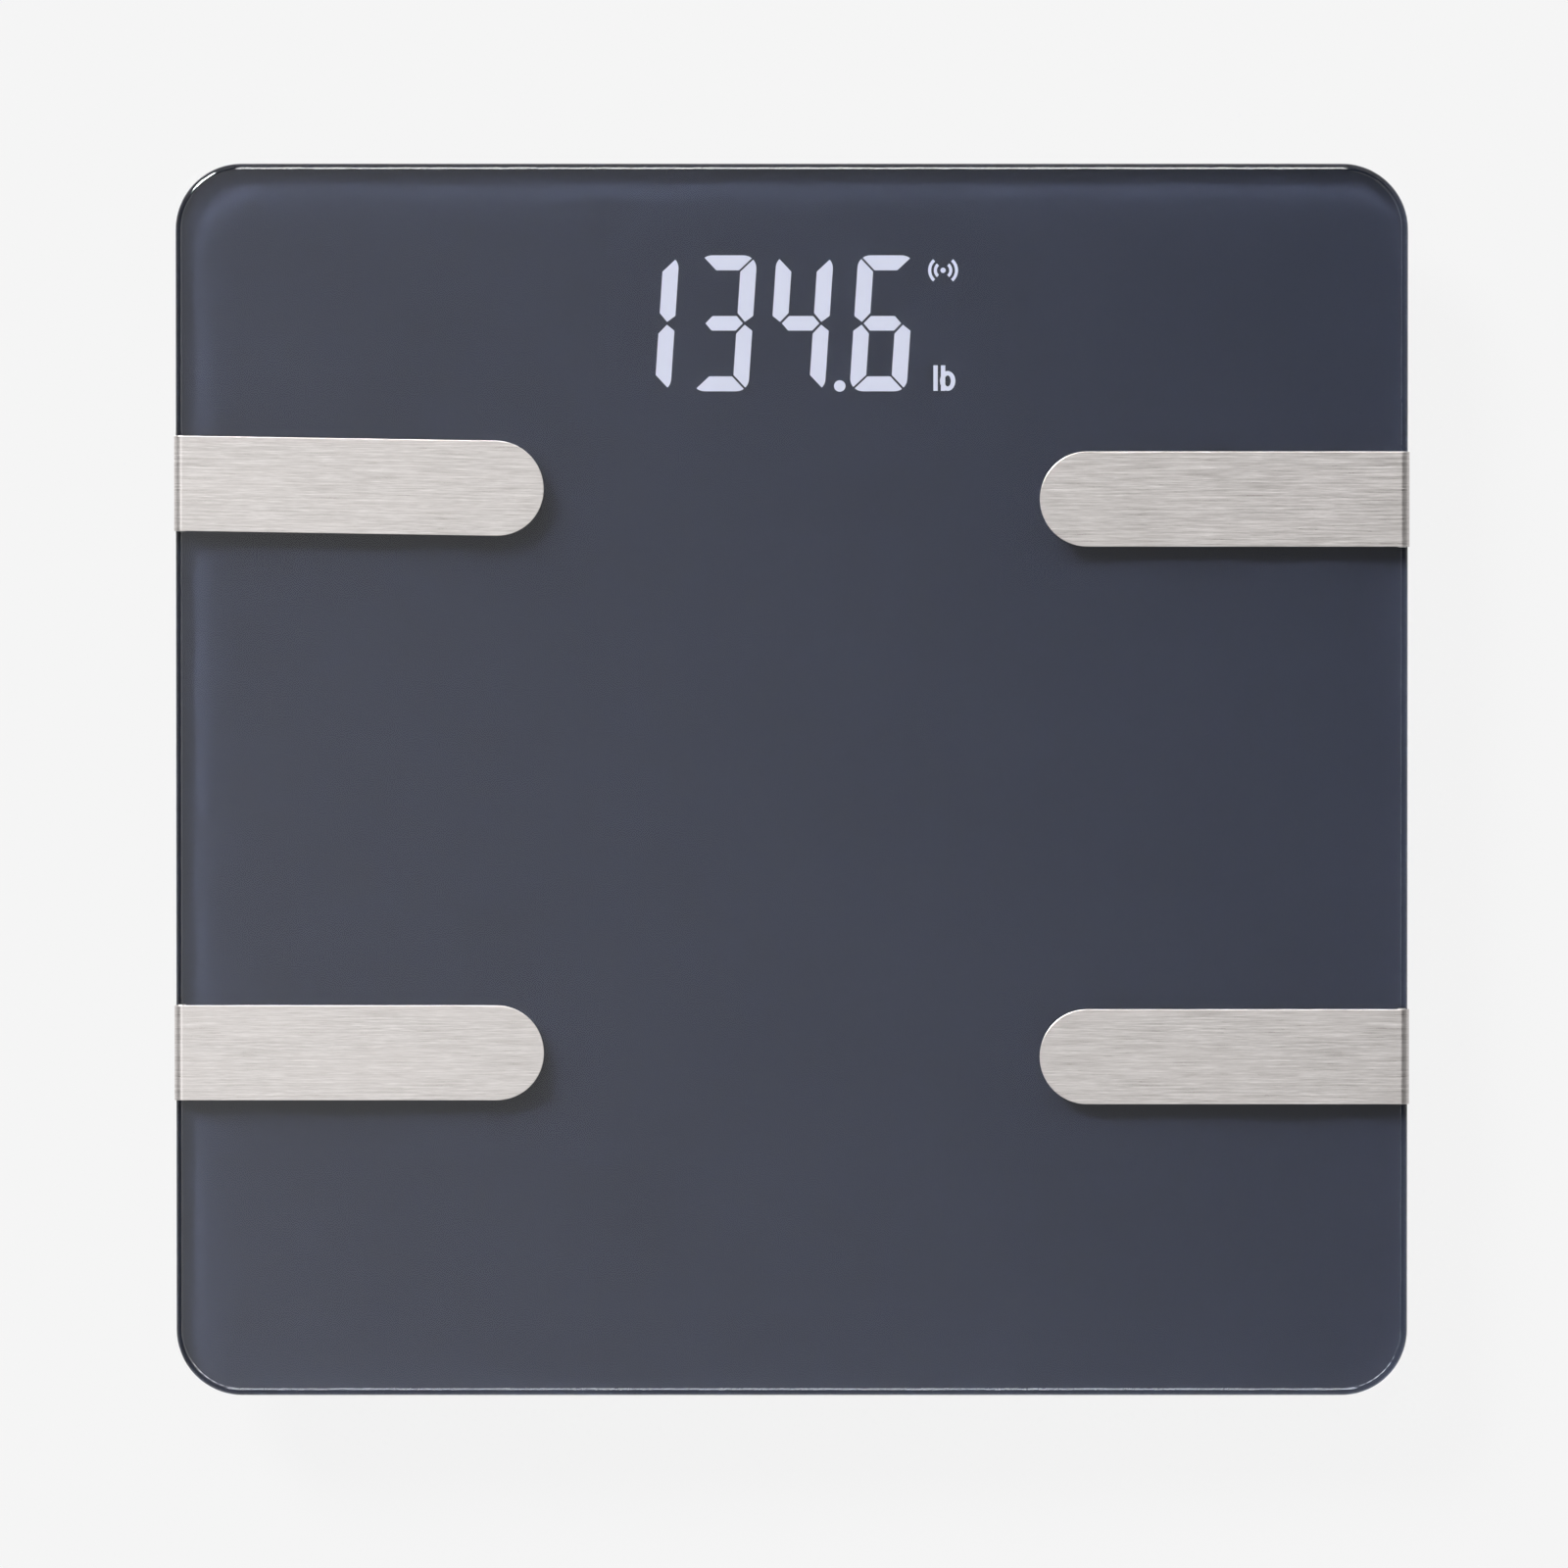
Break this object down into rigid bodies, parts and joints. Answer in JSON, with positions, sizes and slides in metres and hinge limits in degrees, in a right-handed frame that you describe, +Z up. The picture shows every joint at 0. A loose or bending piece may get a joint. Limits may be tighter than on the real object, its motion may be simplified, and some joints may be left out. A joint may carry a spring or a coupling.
{
  "type": "digital bathroom scale",
  "caption": "Square glass-topped digital bathroom scale with wrap-round steel electrodes, lit display, sprung feet and battery door.",
  "frame": {"origin": "on the floor, under the middle of the scale", "axes": "+Z up, +Y to the display (toe) end, +X to the right of somebody standing on it"},
  "size_m": [0.2808, 0.28, 0.0261],
  "materials": {
    "glass": "clear tempered glass, polished edge",
    "print": "blue-grey back print",
    "adhesive": "black adhesive tape",
    "electrode_steel": "brushed stainless, grain along X",
    "tray_plastic": "fine texture, black",
    "foot_plastic": "satin black",
    "foot_rubber": "matte dark grey",
    "cell_steel": "zinc plated",
    "screw_steel": "zinc plated",
    "carrier_plastic": "white",
    "potting": "white silicone",
    "battery_jacket": "printed sleeve",
    "contact_steel": "nickel plated spring steel",
    "board": "green solder mask",
    "chip": "moulded black",
    "radio_can": "tinned can",
    "lit_resin": "lit, lavender white",
    "dark_resin": "unlit, milky",
    "button_plastic": "satin grey",
    "lead_red": "soft insulation",
    "lead_white": "soft insulation",
    "lead_black": "soft insulation",
    "lead_grey": "soft insulation"
  },
  "bodies": {
    "platform": {"back_print": "print", "base_tray": "tray_plastic", "battery_heel": "battery_jacket", "battery_lead_black": "lead_black", "battery_lead_red": "lead_red", "battery_middle": "battery_jacket", "battery_plates": "contact_steel", "battery_springs": "contact_steel", "battery_toe": "battery_jacket", "board_components": "chip", "board_screws": "screw_steel", "cell_carriers": "carrier_plastic", "cell_leads_black": "lead_black", "cell_leads_red": "lead_red", "cell_leads_white": "lead_white", "cell_screws": "screw_steel", "controller_chip": "chip", "dark_segments": "dark_resin", "display_leds": "dark_resin", "display_reflector": "carrier_plastic", "electrode_heel_left": "electrode_steel", "electrode_heel_right": "electrode_steel", "electrode_leads": "lead_grey", "electrode_tape": "adhesive", "electrode_toe_left": "electrode_steel", "electrode_toe_right": "electrode_steel", "gauge_potting": "potting", "glass_platform": "glass", "lit_segments": "lit_resin", "lit_symbols": "lit_resin", "load_cell_heel_left": "cell_steel", "load_cell_heel_right": "cell_steel", "load_cell_toe_left": "cell_steel", "load_cell_toe_right": "cell_steel", "main_board": "board", "radio_module": "radio_can", "rim_tape": "adhesive", "switch_body": "chip"},
    "unit_button": {"unit_button": "button_plastic", "switch_plunger": "button_plastic"},
    "battery_door": {"battery_door": "tray_plastic"},
    "foot_toe_left": {"foot_shell_toe_left": "foot_plastic", "foot_pad_toe_left": "foot_rubber", "foot_screw_toe_left": "screw_steel"},
    "foot_toe_right": {"foot_shell_toe_right": "foot_plastic", "foot_pad_toe_right": "foot_rubber", "foot_screw_toe_right": "screw_steel"},
    "foot_heel_left": {"foot_shell_heel_left": "foot_plastic", "foot_pad_heel_left": "foot_rubber", "foot_screw_heel_left": "screw_steel"},
    "foot_heel_right": {"foot_shell_heel_right": "foot_plastic", "foot_pad_heel_right": "foot_rubber", "foot_screw_heel_right": "screw_steel"}
  },
  "joints": [
    {"name": "foot_press_toe_left", "type": "slide", "parent": "platform", "child": "foot_toe_left", "axis": [0, 0, 1], "range_m": [0, 0.0005], "stiffness_N_per_m": 1000, "deforming": ["load_cell_toe_left"]},
    {"name": "foot_press_toe_right", "type": "slide", "parent": "platform", "child": "foot_toe_right", "axis": [0, 0, 1], "range_m": [0, 0.0005], "stiffness_N_per_m": 1000, "deforming": ["load_cell_toe_right"]},
    {"name": "foot_press_heel_left", "type": "slide", "parent": "platform", "child": "foot_heel_left", "axis": [0, 0, 1], "range_m": [0, 0.0005], "stiffness_N_per_m": 1000, "deforming": ["load_cell_heel_left"]},
    {"name": "foot_press_heel_right", "type": "slide", "parent": "platform", "child": "foot_heel_right", "axis": [0, 0, 1], "range_m": [0, 0.0005], "stiffness_N_per_m": 1000, "deforming": ["load_cell_heel_right"]},
    {"name": "unit_press", "type": "slide", "parent": "platform", "child": "unit_button", "axis": [0, 0, 1], "range_m": [0, 0.0004], "stiffness_N_per_m": 3000},
    {"name": "door_swing", "type": "hinge", "parent": "platform", "child": "battery_door", "pos_m": [0, -0.0196, 0.0053], "axis": [-1, 0, 0], "range_deg": [0, 90]}
  ]
}
